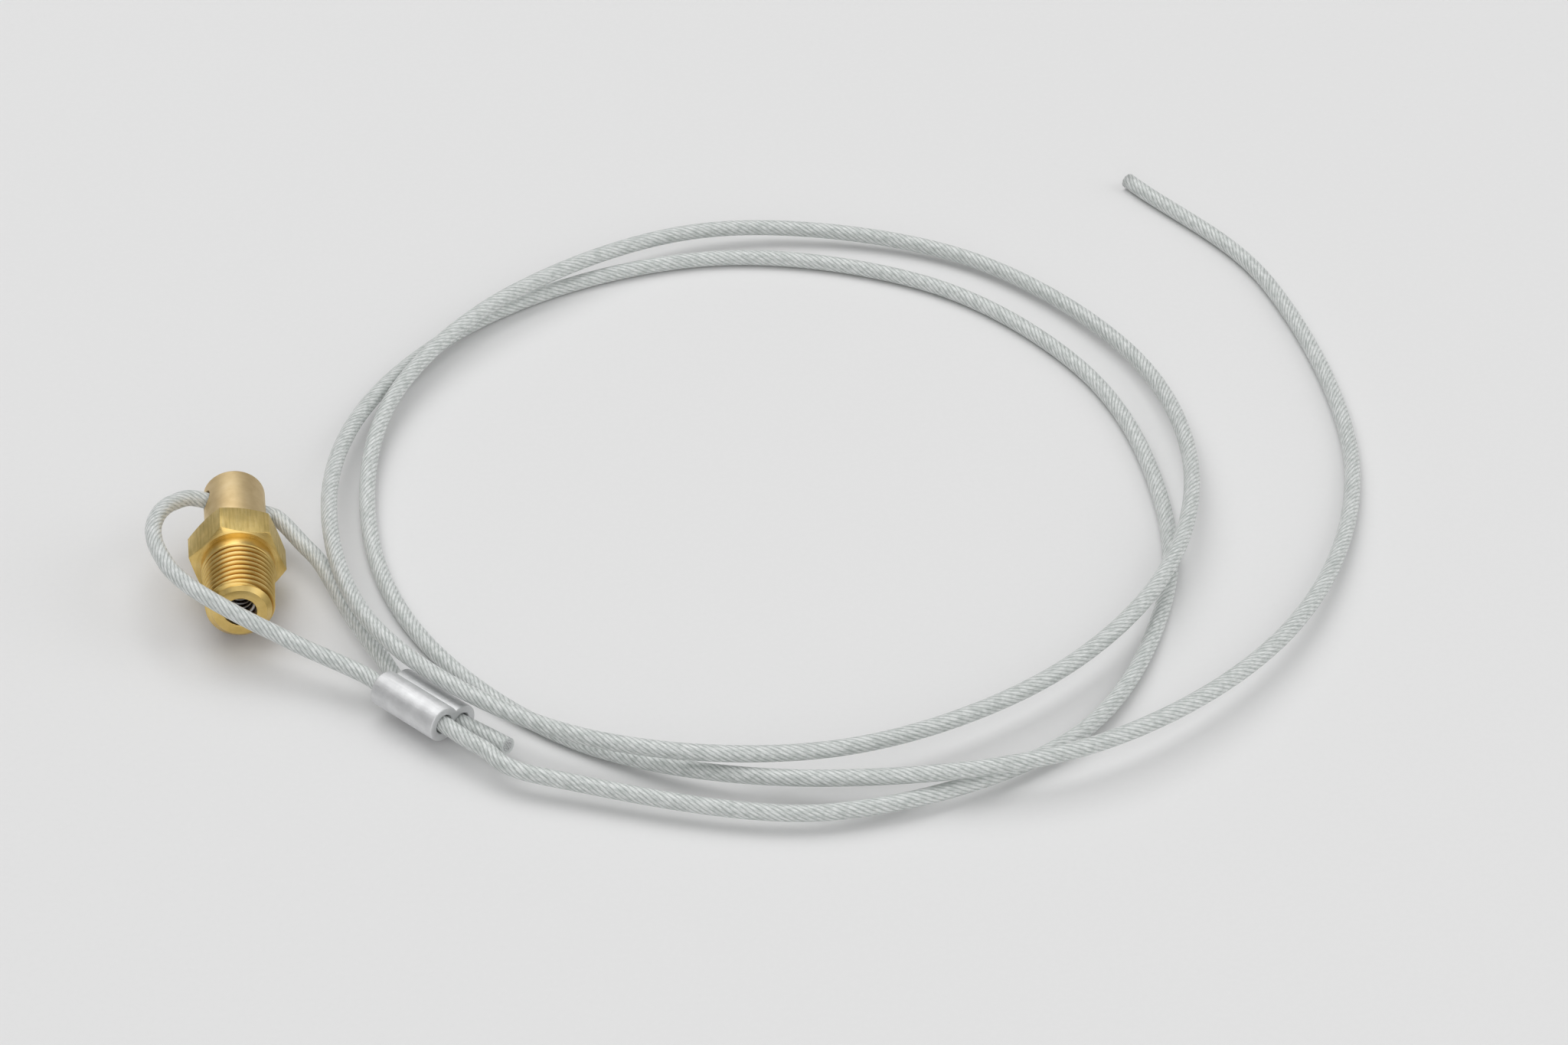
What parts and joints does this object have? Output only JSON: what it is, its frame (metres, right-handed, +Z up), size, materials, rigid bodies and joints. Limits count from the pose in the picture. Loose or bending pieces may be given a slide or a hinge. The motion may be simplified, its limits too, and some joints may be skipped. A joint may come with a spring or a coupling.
{
  "type": "pull-cable drain valve",
  "caption": "Brass tilt valve with a taper pipe thread, hexagon and pull post, opened by a coiled vinyl-coated wire rope that is looped through the post and crimped.",
  "frame": {"origin": "on the table, under the middle of the valve's length, with the valve lying on a corner of its hexagon", "axes": "+Y along the valve's axis from the threaded mouth to the pull post, +Z up from the table, +X towards the coil"},
  "size_m": [0.241, 0.211, 0.0182],
  "materials": {
    "brass": "bright machined",
    "satin_brass": "satin turned",
    "steel": "drawn wire and turned bar",
    "rubber": "moulded",
    "aluminium": "satin extruded",
    "coated_rope": "clear coat over steel strands"
  },
  "bodies": {
    "valve": {"valve_body": "brass", "retaining_ring": "steel", "return_spring": "steel", "crimp_sleeve": "aluminium", "cable_front_leg": "coated_rope", "cable_back_leg": "coated_rope", "cable_stub": "coated_rope", "cable_coil": "coated_rope"},
    "post": {"pull_post": "satin_brass", "valve_stem": "steel", "seat_seal": "rubber", "cable_through_post": "coated_rope"}
  },
  "joints": [
    {"name": "post_tilt", "type": "hinge", "parent": "valve", "child": "post", "pos_m": [0, -0.0022, 0.00911], "axis": [0.9397, 0, -0.342], "range_deg": [-8, 8], "stiffness_Nm_per_rad": 0.3, "deforming": ["return_spring", "seat_seal"]}
  ]
}
